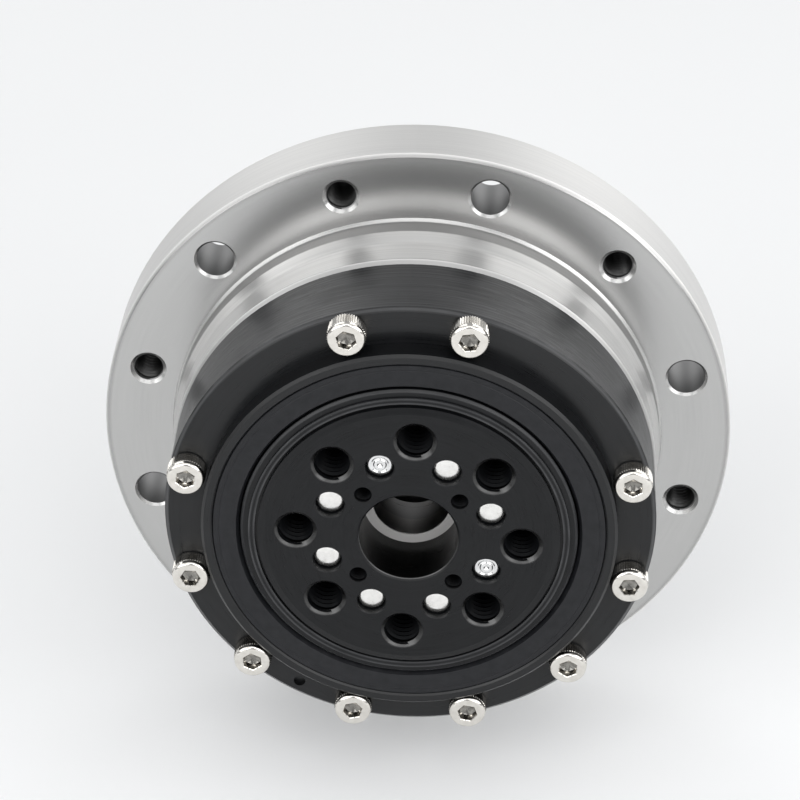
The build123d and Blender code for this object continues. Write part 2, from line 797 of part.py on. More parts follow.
with BuildPart() as wave_inner_race:
    extrude(
        oval_ring(inner_race_long, inner_race_inside, bearing_rear_station),
        amount=wave_bearing_width,
    )
    extrude(
        oval_ring(inner_race_long + fit_gap, inner_track_long, track_rear_station),
        amount=track_width,
        mode=Mode.SUBTRACT,
    )
wave_inner_race.part.label = "wave_inner_race"
export_step(wave_inner_race.part, "parts/wave_inner_race.step")

ball_long, ball_short = wave(ball_path_long)
ball_spots = []
for index in range(ball_count):
    angle = 2 * pi * (index + 0.5) / ball_count
    ball_spots.append((ball_long * cos(angle), -wave_station, ball_short * sin(angle)))
with BuildPart() as wave_balls:
    with Locations(*ball_spots):
        Sphere(ball_radius)
wave_balls.part.label = "wave_balls"
export_step(wave_balls.part, "parts/wave_balls.step")

with BuildPart() as wave_ball_cage:
    extrude(
        oval_ring(
            ball_path_long + cage_wall / 2,
            ball_path_long - cage_wall / 2,
            wave_station - cage_rear,
        ),
        amount=cage_front + cage_rear,
    )
    for index in range(ball_count):
        turn = 360 * (index + 0.5) / ball_count
        with BuildSketch(Plane(ball_spots[index], z_dir=around(1, 0, turn))):
            Circle(ball_radius + cage_pocket_gap)
        extrude(amount=cage_wall, both=True, mode=Mode.SUBTRACT)
wave_ball_cage.part.label = "wave_ball_cage"
export_step(wave_ball_cage.part, "parts/wave_ball_cage.step")

# Wave generator plug: the oval cam, with a pocket for the Oldham ring
pocket_floor_station = plug_front_station - plug_web
ring_rear_station = plug_rear_station + retaining_ring_groove
ring_front_station = ring_rear_station + retaining_ring_thickness
lug_slot_width = oldham_lug_width + 2 * oldham_gap
with BuildPart() as wave_plug:
    with BuildSketch(across(plug_rear_station)):
        Ellipse(*wave(plug_long))
    extrude(amount=plug_width)
    with BuildSketch(across(bearing_rear_station + wave_bearing_width)):
        Ellipse(*wave(plug_long + plug_shoulder_height))
    extrude(amount=(plug_width - wave_bearing_width) / 2)
    with BuildSketch(across(plug_rear_station)):
        Circle(plug_pocket_radius)
        Rectangle(lug_slot_width, 2 * (oldham_lug_reach + oldham_gap))
    extrude(amount=plug_width - plug_web, mode=Mode.SUBTRACT)
    with BuildSketch(across(pocket_floor_station)):
        Circle(plug_bore_radius)
    extrude(amount=plug_web, mode=Mode.SUBTRACT)
    with BuildSketch(across(ring_rear_station - fit_gap)):
        Circle(plug_pocket_radius + retaining_ring_groove)
    extrude(amount=retaining_ring_thickness + 2 * fit_gap, mode=Mode.SUBTRACT)
    with BuildSketch(across(plug_rear_station)):
        with PolarLocations(plug_hole_circle, plug_hole_count, 45):
            Circle(plug_hole_radius)
    extrude(amount=plug_width, mode=Mode.SUBTRACT)
wave_plug.part.label = "wave_plug"
export_step(wave_plug.part, "parts/wave_plug.step")

# Thrust washer and Oldham ring: they let the hub float a little in the plug
washer_rear_station = pocket_floor_station - washer_thickness
oldham_front_station = washer_rear_station - fit_gap
oldham_rear_station = oldham_front_station - oldham_thickness
with BuildPart() as thrust_washer:
    with BuildSketch(across(washer_rear_station)):
        Circle(plug_pocket_radius - oldham_gap)
        Circle(oldham_bore_radius, mode=Mode.SUBTRACT)
    extrude(amount=washer_thickness)
thrust_washer.part.label = "thrust_washer"
export_step(thrust_washer.part, "parts/thrust_washer.step")

with BuildPart() as oldham_ring:
    with BuildSketch(across(oldham_rear_station)):
        Circle(plug_pocket_radius - oldham_gap)
        Rectangle(oldham_lug_width, 2 * oldham_lug_reach)
        Circle(oldham_bore_radius, mode=Mode.SUBTRACT)
        Rectangle(2 * (hub_lug_reach + oldham_gap), lug_slot_width, mode=Mode.SUBTRACT)
    extrude(amount=oldham_thickness)
oldham_ring.part.label = "oldham_ring"
export_step(oldham_ring.part, "parts/oldham_ring.step")

# Retaining ring: an open snap ring in the plug's groove
with BuildPart() as retaining_ring:
    with BuildSketch(across(ring_rear_station)):
        Circle(plug_pocket_radius + retaining_ring_groove - fit_gap)
        Circle(
            plug_pocket_radius + retaining_ring_groove - retaining_ring_width,
            mode=Mode.SUBTRACT,
        )
        with Locations((0, -plug_pocket_radius)):
            Rectangle(retaining_ring_mouth, 3 * retaining_ring_width, mode=Mode.SUBTRACT)
    extrude(amount=retaining_ring_thickness)
retaining_ring.part.label = "retaining_ring"
export_step(retaining_ring.part, "parts/retaining_ring.step")

# Input hub: takes the motor shaft in a keyed bore, its two lugs drive the Oldham ring
with BuildPart() as input_hub:
    section = ring_section(
        [
            (input_hub_rear_station, input_bore_radius),
            (input_hub_front_station, input_bore_radius),
            (input_hub_front_station, input_hub_radius - input_hub_edge),
            (input_hub_front_station - input_hub_edge, input_hub_radius),
            (collar_front_station, input_hub_radius),
            (collar_front_station, input_hub_collar_radius),
            (input_hub_rear_station + input_hub_edge, input_hub_collar_radius),
            (input_hub_rear_station, input_hub_collar_radius - input_hub_edge),
        ]
    )
    revolve(section, axis=Axis.Y)
    with BuildSketch(across(oldham_rear_station)):
        Rectangle(2 * hub_lug_reach, oldham_lug_width)
        Circle(input_hub_radius - input_hub_edge, mode=Mode.SUBTRACT)
    extrude(amount=oldham_thickness)
    with BuildSketch(across(input_hub_rear_station)):
        with Locations((0, input_bore_radius)):
            Rectangle(key_width, 2 * key_height)
    extrude(amount=input_hub_front_station - input_hub_rear_station, mode=Mode.SUBTRACT)
    for turn in set_screw_turns:
        middle = Plane(around(0, set_screw_station, 0), z_dir=around(1, 0, turn))
        with BuildSketch(middle):
            Circle(set_screw_radius + thread_gap)
        extrude(amount=input_hub_collar_radius, mode=Mode.SUBTRACT)
input_hub.part.label = "input_hub"
export_step(input_hub.part, "parts/input_hub.step")

with BuildPart() as hub_set_screws:
    for turn in set_screw_turns:
        tip_radius = input_hub_collar_radius - set_screw_length - screw_gap
        tip = Plane(around(tip_radius, set_screw_station, turn), z_dir=around(1, 0, turn))
        with BuildSketch(tip):
            Circle(set_screw_radius)
        extrude(amount=set_screw_length)
        with BuildSketch(tip.offset(set_screw_length)):
            RegularPolygon(set_screw_socket, 6, major_radius=False)
        extrude(amount=-set_screw_socket_depth, mode=Mode.SUBTRACT)
hub_set_screws.part.label = "hub_set_screws"
export_step(hub_set_screws.part, "parts/hub_set_screws.step")
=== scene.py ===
from math import cos, pi, radians, sin

import bmesh
import bpy
from mathutils import Matrix, Vector


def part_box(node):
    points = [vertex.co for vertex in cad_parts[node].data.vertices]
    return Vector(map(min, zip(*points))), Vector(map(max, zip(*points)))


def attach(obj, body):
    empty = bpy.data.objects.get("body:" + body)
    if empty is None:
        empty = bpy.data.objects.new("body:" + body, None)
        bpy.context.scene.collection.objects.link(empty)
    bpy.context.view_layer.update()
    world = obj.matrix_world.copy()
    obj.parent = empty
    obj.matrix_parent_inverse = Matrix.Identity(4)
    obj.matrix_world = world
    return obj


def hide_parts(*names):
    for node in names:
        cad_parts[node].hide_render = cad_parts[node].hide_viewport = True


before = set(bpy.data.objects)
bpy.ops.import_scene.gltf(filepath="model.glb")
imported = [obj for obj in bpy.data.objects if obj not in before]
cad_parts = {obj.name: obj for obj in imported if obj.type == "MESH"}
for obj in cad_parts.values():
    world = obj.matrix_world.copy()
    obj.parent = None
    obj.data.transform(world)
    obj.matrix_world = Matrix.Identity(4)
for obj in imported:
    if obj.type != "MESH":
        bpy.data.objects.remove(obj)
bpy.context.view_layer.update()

# %% [markdown]
# # A strain wave gear
#
# The object is a flat gearhead. A silver steel flange carries a blackened bearing ring, and in
# the ring turns a black output disc with threaded holes. An oil seal closes the gap between
# them. All of it is turned and drilled steel, so nearly every shape here is a circle, and
# nearly every finish is the trace of a cutting tool that ran round the same axis.
#
# The frame has the gear's axis along Y. The output looks towards -Y and +Z is up. A station
# is a distance along the axis from the front face of the flange, positive towards the output.
# Radii and stations are in millimetres, as on a drawing, and become metres where they are used.

# %% Units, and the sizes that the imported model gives
MM = 0.001


def reach(node, axis):
    """How far a node reaches from the gear's axis along X or Z, in millimetres."""
    low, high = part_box(node)
    return (high[axis] - low[axis]) / 2 / MM


def station_of(node, front=True):
    """The station of a node's front or rear end, in millimetres."""
    low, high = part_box(node)
    return (-low.y if front else -high.y) / MM


print("flange radius", round(reach("circular_spline_flange", 2), 2))
print("ring radius", round(reach("bearing_ring_front", 0), 2))

# %% [markdown]
# ## Camera
#
# The photograph was taken from in front of the output and well above it, with a long lens. A
# long lens keeps the circles nearly true ellipses. The place and the turn were found by laying
# the known circles of the object over the photograph until they matched.

# %% Camera
CAMERA_PLACE = (0.01699, -0.38108, 0.23751)
CAMERA_TURN = (58.746, 0.386, 2.687)
LENS = 135.75
SENSOR = 36.0
CLIP_START = 0.01
camera_data = bpy.data.cameras.new("camera")
camera_data.lens = LENS
camera_data.sensor_width = SENSOR
camera_data.clip_start = CLIP_START
camera = bpy.data.objects.new("camera", camera_data)
camera.location = CAMERA_PLACE
camera.rotation_euler = [radians(a) for a in CAMERA_TURN]
bpy.context.scene.collection.objects.link(camera)
bpy.context.scene.camera = camera
print("camera at", CAMERA_PLACE)

# %% [markdown]
# ## Light
#
# Bare metal shows what stands round it, so the lights are large soft panels. The tops of the
# rim, the neck and the ring mirror what stands behind the gear, so two panels are there, one
# on each side of the axis. The front faces mirror the floor, so two panels in front light it.
# A small one high in front draws the bevelled edges, a broad one hangs above, and one on each
# side reaches the flanks.

# %% Light panels
GEAR = (0, 0, 0)
PANELS = (
    # name, place, target, size, power
    ("back_left_panel", (-0.58, 0.95, 0.6), GEAR, (0.75, 0.8), 2.2),
    ("back_right_panel", (0.63, 0.95, 0.46), GEAR, (0.8, 0.85), 2.7),
    ("front_left_panel", (-0.55, -0.8, 0.5), GEAR, (0.8, 0.8), 4.6),
    ("front_right_panel", (0.55, -0.8, 0.5), GEAR, (0.8, 0.8), 5.0),
    ("top_panel", (0.0, -0.35, 1.25), GEAR, (1.2, 0.8), 1.0),
    ("edge_panel", (0.0, -0.7, 1.05), (0, -0.1, 0), (0.7, 0.35), 1.3),
    ("left_panel", (-0.9, -0.42, 0.5), GEAR, (0.6, 0.6), 1.5),
    ("right_panel", (0.95, -0.22, 0.5), GEAR, (0.6, 0.6), 3.0),
)
for name, place, target, size, power in PANELS:
    light = bpy.data.lights.new(name, "AREA")
    light.shape = "RECTANGLE"
    light.size, light.size_y = size
    light.energy = power
    lamp = bpy.data.objects.new(name, light)
    lamp.location = place
    lamp.rotation_euler = (Vector(target) - Vector(place)).to_track_quat("-Z", "Y").to_euler()
    bpy.context.scene.collection.objects.link(lamp)
print(len(PANELS), "panels")

# %% [markdown]
# ## Surroundings and floor
#
# A weak, even, pale grey surrounding fills the shadows. A picture of a studio could do it too,
# but bare metal would show that picture. The floor is one large sheet that touches the lowest
# point of the flange's rim. The Standard view leaves the tones as they are set here.

# %% Surroundings and floor
SURROUNDINGS = (0.93, 0.94, 0.95, 1)
SURROUNDINGS_STRENGTH = 0.5
FLOOR_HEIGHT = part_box("circular_spline_flange")[0].z
FLOOR_SIZE = 6.0

bpy.context.scene.view_settings.view_transform = "Standard"
world = bpy.data.worlds.new("studio")
bpy.context.scene.world = world
world.use_nodes = True
background = world.node_tree.nodes["Background"].inputs
background["Color"].default_value = SURROUNDINGS
background["Strength"].default_value = SURROUNDINGS_STRENGTH

floor_mesh = bpy.data.meshes.new("floor")
bm = bmesh.new()
bmesh.ops.create_grid(bm, x_segments=1, y_segments=1, size=FLOOR_SIZE / 2)
bmesh.ops.translate(bm, verts=bm.verts, vec=(0, 0, FLOOR_HEIGHT))
bm.to_mesh(floor_mesh)
bm.free()
floor = bpy.data.objects.new("floor", floor_mesh)
bpy.context.scene.collection.objects.link(floor)
print("floor at", round(FLOOR_HEIGHT, 4))

# %% [markdown]
# ## A material and its nodes
#
# In the editor, a node tree is laid out by hand, one node and one wire at a time. In a script, a
# small class can hold the tree and its shader, and make a node with its wires in one call. A
# number given for an input is typed into it, and another node's output is wired to it.

# %% A material and its nodes
class Finish:
    """A material under construction: its tree, its shader and ways to add nodes."""

    def __init__(self, name, color, metallic, roughness, **sockets):
        self.material = bpy.data.materials.new(name)
        self.material.use_nodes = True
        self.tree = self.material.node_tree
        self.shader = self.tree.nodes["Principled BSDF"]
        self.set("Base Color", (*color, 1))
        self.set("Metallic", metallic)
        self.set("Roughness", roughness)
        for socket, value in sockets.items():
            self.set(socket.replace("_", " "), value)

    def set(self, socket, value):
        """Sets one of the shader's own values."""
        self.shader.inputs[socket].default_value = value

    def link(self, value, socket):
        """Wires a node's output to the shader."""
        self.tree.links.new(value, self.shader.inputs[socket])

    def node(self, kind, inputs=None, **settings):
        """A node with its settings, and its inputs given by name or number."""
        made = self.tree.nodes.new(kind)
        for key, value in settings.items():
            setattr(made, key, value)
        for key, value in (inputs or {}).items():
            if isinstance(value, bpy.types.NodeSocket):
                self.tree.links.new(value, made.inputs[key])
            else:
                made.inputs[key].default_value = value
        return made

    def math(self, operation, first, second=0.0):
        """One sum on two values."""
        inputs = {0: first, 1: second}
        return self.node("ShaderNodeMath", inputs, operation=operation).outputs[0]


print("a material starts as a", Finish.__name__)

# %% [markdown]
# ## Noises and ranges
#
# A finish is never the same all over. A noise on Object coordinates gives each spot its own
# value from the spot's place in metres, so it needs no picture and no unwrapping. The noise then
# goes through a range, which turns it into a roughness or a mask, and a mask mixes two colours.

# %% Noises and ranges
MAIN_SHARE = 0.7
OTHER_SHARE = 0.3


class Varied(Finish):
    """A finish that changes from spot to spot."""

    def place(self):
        """The point on the object, in metres."""
        return self.node("ShaderNodeTexCoord").outputs["Object"]

    def noise(self, vector, scale, detail=2.0, rough=0.5):
        """A cloudy value round one half."""
        inputs = {"Vector": vector, "Scale": scale, "Detail": detail, "Roughness": rough}
        return self.node("ShaderNodeTexNoise", inputs).outputs["Fac"]

    def spread(self, value, low, high, start=0.3, end=0.7):
        """Maps the usual range of a noise, or the one given, to low and high."""
        source = {"Value": value, "From Min": start, "From Max": end}
        target = {"To Min": low, "To Max": high}
        return self.node("ShaderNodeMapRange", source | target).outputs["Result"]

    def fade(self, mask, low, high):
        """One value where the mask is 0 and another where it is 1."""
        return self.spread(mask, low, high, 0.0, 1.0)

    def mixed_noise(self, main, other):
        """Two noises in one, the first of them the stronger."""
        strong = self.math("MULTIPLY", main, MAIN_SHARE)
        return self.math("ADD", strong, self.math("MULTIPLY", other, OTHER_SHARE))

    def blend(self, value, first, second):
        """A colour between two, each of which is three numbers or another node's colour."""
        made = self.node("ShaderNodeMix", {0: value}, data_type="RGBA")
        for socket, color in ((6, first), (7, second)):
            if isinstance(color, tuple):
                made.inputs[socket].default_value = (*color, 1)
            else:
                self.tree.links.new(color, made.inputs[socket])
        return made.outputs[2]

    def bump(self, height, strength, distance):
        """Tilts the light on the surface as if it had this height."""
        inputs = {"Height": height, "Strength": strength, "Distance": distance}
        self.link(self.node("ShaderNodeBump", inputs).outputs["Normal"], "Normal")


print("two noises are mixed", MAIN_SHARE, "to", OTHER_SHARE)

# %% [markdown]
# ## Marks of the lathe
#
# A lathe leaves fine rings on a face and fine rings round a side. Both are the same pattern
# when it is read in the lathe's own terms: the distance from the axis and the place along it.
# A noise that changes fast with those two and slowly round the axis draws such marks on
# every turned surface at once. The rings also stretch every highlight across them. The
# shader's anisotropy does that, with a tangent that runs round the axis.

# %% Marks of the lathe
class Turned(Varied):
    """A finish in the lathe's terms: out from the gear's axis, along it and round it."""

    def xyz(self):
        return self.node("ShaderNodeSeparateXYZ", {0: self.place()}).outputs

    def squares(self, first, second):
        """The sum of two squares, for the length of a slanting line."""
        return self.math(
            "ADD", self.math("MULTIPLY", first, first), self.math("MULTIPLY", second, second)
        )

    def distance(self):
        """How far a point is from the gear's axis, in metres."""
        x, _, z = self.xyz()
        return self.math("SQRT", self.squares(x, z))

    def lathe(self, fine, around):
        """Coordinates that change by so much per metre out and along, and round the axis."""
        x, y, z = self.xyz()
        wave = self.math("SINE", self.math("ARCTAN2", z, x))
        inputs = {
            0: self.math("MULTIPLY", self.distance(), fine),
            1: self.math("MULTIPLY", y, fine),
            2: self.math("MULTIPLY", wave, around),
        }
        return self.node("ShaderNodeCombineXYZ", inputs).outputs[0]

    def stretch(self):
        """Lets the tangent of the highlights run round the axis."""
        tangent = self.node("ShaderNodeTangent", direction_type="RADIAL", axis="Y")
        self.link(tangent.outputs[0], "Tangent")


print("lathe marks ready")

# %% [markdown]
# ## Masks by radius and station
#
# One piece of steel can have several finishes: a bright neck, a dull rim, dark holes. They could
# be painted on a map, but the drawing already says where each of them is. So a mask reads the
# radius and the station of a point and comes out as 0 or 1. A ring of holes is folded into a
# single hole first, by the remainder of the turn round the axis.

# %% Masks by radius and station
class Masked(Turned):
    """A turned finish with masks, whose measures are in millimetres."""

    def before(self, station, width):
        """1 on the output's side of a station, from this width on."""
        _, y, _ = self.xyz()
        return self.spread(y, 1.0, 0.0, -(station + width) * MM, -station * MM)

    def behind(self, station, width):
        """1 on the flange's side of a station, from this width on."""
        _, y, _ = self.xyz()
        return self.spread(y, 0.0, 1.0, -station * MM, (width - station) * MM)

    def outside(self, radius, width):
        """1 outside a radius, from this width on."""
        return self.spread(self.distance(), 0.0, 1.0, radius * MM, (radius + width) * MM)

    def near(self, circles, width):
        """1 close to any of the circles round the axis, given by radius and station."""
        _, y, _ = self.xyz()
        distance = self.distance()
        closest = None
        for radius, station in circles:
            out = self.math("SUBTRACT", distance, radius * MM)
            gap = self.squares(out, self.math("ADD", y, station * MM))
            closest = gap if closest is None else self.math("MINIMUM", closest, gap)
        gap = self.math("SQRT", closest)
        return self.spread(gap, 1.0, 0.0, 0.3 * width * MM, width * MM)

    def holes(self, circle, count, turn, radius, top):
        """1 in a ring of holes, deeper than a station."""
        x, _, z = self.xyz()
        step = 2 * pi / count
        angle = self.math("ADD", self.math("ARCTAN2", z, x), step / 2 - radians(turn))
        folded = self.math("SUBTRACT", self.math("FLOORED_MODULO", angle, step), step / 2)
        distance = self.distance()
        along = self.math("MULTIPLY", distance, self.math("COSINE", folded))
        out = self.math("SUBTRACT", along, circle * MM)
        side = self.math("MULTIPLY", distance, self.math("SINE", folded))
        inside = self.math("LESS_THAN", self.squares(out, side), (radius * MM) ** 2)
        return self.math("MULTIPLY", inside, self.behind(top, 0.1))


def wear(material, *node_names):
    """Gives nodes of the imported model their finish."""
    for node_name in node_names:
        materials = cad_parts[node_name].data.materials
        materials.clear()
        materials.append(material)
    print(material.name, "on", len(node_names), "nodes")


# %% [markdown]
# ## Turned steel
#
# Steel straight from the lathe is bright, with fine single rings among broader bands. One
# noise alone would draw rings of one size, so a slower one adds the bands. Together they
# darken the colour a little, and on a piece with a single finish the roughness follows them
# too. The fine rings alone make the bump.

# %% Turned steel
STEEL_ANISOTROPY = 0.6
STEEL_LINES = 0.92
FINE_RINGS = (5200, 4.0)
BROAD_RINGS = (260, 1.5)
STEEL_BUMP = (0.035, 0.00002)


class TurnedSteel(Masked):
    """Bright steel with fine rings from the lathe."""

    def __init__(self, name, color, anisotropy=STEEL_ANISOTROPY):
        super().__init__(name, color, 1.0, 0.3, Anisotropic=anisotropy)
        self.stretch()
        fine = self.noise(self.lathe(*FINE_RINGS), 1.0)
        broad = self.noise(self.lathe(*BROAD_RINGS), 1.0)
        self.grain = self.mixed_noise(fine, broad)
        self.rings = self.spread(self.grain, 0.0, 1.0)
        self.color = self.lined(color, STEEL_LINES)
        self.link(self.color, "Base Color")
        self.bump(fine, *STEEL_BUMP)

    def lined(self, color, share):
        """A colour that drops to a share of itself along the rings."""
        return self.blend(self.rings, tuple(share * c for c in color), color)


def plain_steel(name, color, low, high):
    """Turned steel whose roughness follows the rings, the same on all its surfaces."""
    steel = TurnedSteel(name, color)
    steel.link(steel.spread(steel.grain, low, high), "Roughness")
    return steel.material


bare_steel = plain_steel("plain_machined_steel", (0.5, 0.5, 0.5), 0.25, 0.42)
plug_steel = plain_steel("oiled_machined_steel", (0.36, 0.355, 0.35), 0.28, 0.46)
# the flange's threads are near black: oil on them, and painted shade for the inside of the holes
tapped_oil_and_painted_shade = plain_steel("oil_and_painted_shade_tapped_hole", (0.1, 0.1, 0.1), 0.3, 0.5)
wear(bare_steel, "seal_case", "thrust_washer", "flexspline_clamp_ring")
wear(plug_steel, "wave_plug", "oldham_ring", "input_hub")

# %% [markdown]
# ## The flange's steel
#
# The flange was turned in several cuts, and each left its own shade. The rim and the neck are
# the palest. The pilot between the face and the neck is painted dark as the shadow at the neck's
# foot, the holes are painted darker still as the shade inside them, and the narrow bevels are
# painted grey as shade where the lamps would draw bright lines. Each could be a piece of its
# own, but then they would have seams. Masks lay one shade over another instead, so the flange
# keeps one material.

# %% Where the flange changes its shade
# station or radius, and the width of the change
NECK = (0.2, 0.3)
PILOT = (3.3, 0.2)
RIM = (46.1, 0.3)
FLANGE_BEVELS = [(46.25, 0.25), (34.95, 10.55)]
BEVEL_WIDTH = 0.75
FLANGE_CIRCLE = 41.0
# circle, count, turn, radius, station where the hole begins
FLANGE_HOLES = (FLANGE_CIRCLE, 12, 15.0, 2.95, -0.4)
print(FLANGE_HOLES[1], "holes on a radius of", FLANGE_CIRCLE)

# %% The flange's steel
FACE_SHADE = (0.5, 0.498, 0.492)
# painted shade inside the flange's holes
FLANGE_HOLE_PAINTED_SHADE = (0.26, 0.26, 0.26)
RIM_SHADE = (0.73, 0.725, 0.715)
NECK_SHADE = (0.76, 0.756, 0.748)
# painted shadow at the neck's foot, laid on the pilot
PILOT_PAINTED_SHADOW = (0.32, 0.318, 0.315)
# painted shade on the bevels, where the lamps would draw bright lines
BEVEL_PAINTED_SHADE = (0.36, 0.358, 0.354)
RIM_LINES = 0.9
NECK_LINES = 0.82
FLANGE_ANISOTROPY = 0.5
FLANGE_ROUGHNESS = 0.27
NECK_ROUGHER = 0.1
RIM_ROUGHER = 0.25
NECK_METAL = 0.75

steel = TurnedSteel("turned_flange_steel", FACE_SHADE, FLANGE_ANISOTROPY)
in_holes = steel.holes(*FLANGE_HOLES)
on_rim = steel.outside(*RIM)
on_neck = steel.before(*NECK)
on_pilot = steel.math("MULTIPLY", on_neck, steel.behind(*PILOT))
on_bevel = steel.near(FLANGE_BEVELS, BEVEL_WIDTH)
# the holes take the painted shade
color = steel.blend(in_holes, steel.color, FLANGE_HOLE_PAINTED_SHADE)
color = steel.blend(on_rim, color, steel.lined(RIM_SHADE, RIM_LINES))
color = steel.blend(on_neck, color, steel.lined(NECK_SHADE, NECK_LINES))
# the pilot takes the painted shadow of the neck's foot
color = steel.blend(on_pilot, color, steel.lined(PILOT_PAINTED_SHADOW, NECK_LINES))
# the bevels take the painted shade
steel.link(steel.blend(on_bevel, color, BEVEL_PAINTED_SHADE), "Base Color")
coarse = steel.math("MULTIPLY", steel.math("MAXIMUM", in_holes, on_rim), RIM_ROUGHER)
rougher = steel.math("ADD", steel.math("MULTIPLY", on_neck, NECK_ROUGHER), coarse)
steel.link(steel.math("ADD", rougher, FLANGE_ROUGHNESS), "Roughness")
steel.link(steel.fade(on_neck, 1.0, NECK_METAL), "Metallic")
wear(steel.material, "circular_spline_flange")

# %% [markdown]
# ## The flexspline's steel
#
# The cup is smooth, but the face of its boss, which shows as a pale ring in the output's bore,
# is dull and evenly lit. So the boss gets a rougher finish with little metal in it, and one
# mask by station is enough to part the two.

# %% The flexspline's steel
BOSS = (18.1, 0.2)
CUP_ROUGHNESS, BOSS_ROUGHNESS = 0.3, 0.6
CUP_METAL, BOSS_METAL = 1.0, 0.1

steel = TurnedSteel("flexspline_steel", (0.62, 0.61, 0.6))
on_boss = steel.before(*BOSS)
steel.link(steel.fade(on_boss, CUP_ROUGHNESS, BOSS_ROUGHNESS), "Roughness")
steel.link(steel.fade(on_boss, CUP_METAL, BOSS_METAL), "Metallic")
wear(steel.material, "flexspline")

# %% [markdown]
# ## Blackened steel
#
# The bearing ring and the output hub have a thin black conversion coat. It hides the metal, so
# the finish isn't metallic: it is nearly black, with a soft gloss that follows the lathe's rings
# and larger clouds. The coat is rubbed grey in streaks on the ring's side, and the streaks are
# painted pale enough to stand for the side's streaky sheen too. Pale painted highlights run
# along the edges. On the bevelled lips of the holes the coat is gone and bare steel shows, and
# painted shade darkens the holes below the lips. One even black would look like paint, so each
# of these is laid over the last by a mask.

# %% The black coat in numbers
COAT = (0.004, 0.0043, 0.005)
COAT_DARK = (0.0025, 0.0028, 0.0034)
COAT_PALE = (0.0075, 0.008, 0.009)
# grey of rubbed streaks, painted pale enough to stand for the side's sheen too
RUBBED_AND_SHEEN = (0.056, 0.057, 0.06)
# painted highlight along the black edges
PAINTED_EDGE_HIGHLIGHT = (0.06, 0.061, 0.064)
BARE_LIP = (0.075, 0.075, 0.075)
# painted shade inside the hub's holes and its bore
HOLE_PAINTED_SHADE = (0.0008, 0.0008, 0.0008)
PAINTED_EDGE_HIGHLIGHT_WIDTH = 0.3
LIP_TOP = 27.75
COAT_ANISOTROPY = 0.6
COAT_RINGS = (4200, 5.0)
CLOUDS = 260.0
COAT_BUMP = (0.2, 0.00003)
STREAKS = (3000, 14.0)
STREAK_RANGE = (0.42, 0.72)
print("the lips of the hub's holes start at", LIP_TOP)


# %% Blackened steel
class Blackened(Masked):
    """Steel with a satin black coat over fine turning marks."""

    def __init__(self, name, low, high, gloss):
        shine = {"Anisotropic": COAT_ANISOTROPY, "Specular IOR Level": gloss}
        super().__init__(name, COAT, 0.0, 0.35, **shine)
        self.stretch()
        rings = self.noise(self.lathe(*COAT_RINGS), 1.0, 4.0, 0.65)
        cloud = self.noise(self.place(), CLOUDS, 3.0, 0.55)
        self.grain = self.mixed_noise(rings, cloud)
        self.link(self.spread(self.grain, low, high), "Roughness")
        self.color = COAT_DARK
        self.lay(self.spread(self.grain, 0.0, 1.0), COAT_PALE)
        self.bump(rings, *COAT_BUMP)

    def lay(self, mask, color):
        """Lays a colour over what is there, where the mask is 1."""
        self.color = self.blend(mask, self.color, color)
        self.link(self.color, "Base Color")

    def rub_side_and_paint_sheen(self, radius):
        """Streaks of worn coat on the side that reaches this radius, painted pale as the side's
        sheen too.
        """
        marks = self.noise(self.lathe(*STREAKS), 1.0, 4.0, 0.7)
        streaks = self.spread(marks, 0.0, 1.0, *STREAK_RANGE)
        on_side = self.outside(radius - 0.1, 0.1)
        self.lay(self.math("MULTIPLY", streaks, on_side), RUBBED_AND_SHEEN)

    def paint_edge_highlights(self, circles):
        """Paints pale highlights along edges, more where the grain is coarse."""
        uneven = self.spread(self.grain, 0.2, 1.0)
        self.lay(self.math("MULTIPLY", self.near(circles, PAINTED_EDGE_HIGHLIGHT_WIDTH), uneven), PAINTED_EDGE_HIGHLIGHT)

    def bare_lips(self, rings_of_holes):
        """Bare metal on the lips of holes, and painted shade below them."""
        bare = 0.0
        for *ring, lip_end in rings_of_holes:
            lip = self.holes(*ring, LIP_TOP)
            wall = self.holes(*ring, lip_end)
            bare = self.math("ADD", self.math("SUBTRACT", lip, wall), bare)
            self.lay(lip, BARE_LIP)
            # the walls below the lips take the painted shade
            self.lay(wall, HOLE_PAINTED_SHADE)
        self.link(bare, "Metallic")


print("black coat is", COAT_DARK, "to", COAT_PALE)

# %% [markdown]
# ## What wears the black coat
#
# The ring and the hub differ in gloss and in their marks: the ring has rubbed streaks, painted
# pale as sheen too, on its side and a painted highlight on its front edge; the hub has painted
# highlights on the edges of its face, bare lips on its holes and painted shade inside them. The
# coat is the same, so both come from one class, and each calls only for the marks that it has.

# %% What wears the black coat
OUTPUT_CIRCLE = 16.0
OUTPUT_TURN = 86.4
SMALL_CIRCLE = 9.6
SMALL_TURN = OUTPUT_TURN - 45
RING_SIDE = 34.9
RING_EDGES = [(34.7, 23.4)]
HUB_EDGES = [(23.7, 26.85), (22.7, 27.3), (21.9, 27.35)]
HUB_HOLES = [
    # circle, count, turn, radius, station where the lip ends
    (OUTPUT_CIRCLE, 8, OUTPUT_TURN, 3.15, 27.25),
    (SMALL_CIRCLE, 4, SMALL_TURN, 1.35, 27.6),
    (0.0, 1, 0.0, 7.1, 27.4),
]
ring_black = Blackened("blackened_bearing_ring", 0.24, 0.42, 0.38)
# rubbed streaks with painted sheen on the ring's side
ring_black.rub_side_and_paint_sheen(RING_SIDE)
# painted highlight on the ring's front edge
ring_black.paint_edge_highlights(RING_EDGES)
hub_black = Blackened("blackened_output_hub", 0.24, 0.38, 0.24)
# painted highlights on the edges of the hub's face
hub_black.paint_edge_highlights(HUB_EDGES)
hub_black.bare_lips(HUB_HOLES)
tapped_black = Blackened("oily_black_thread", 0.35, 0.5, 0.08).material
wear(ring_black.material, "bearing_ring_front", "bearing_ring_rear")
wear(hub_black.material, "output_hub")

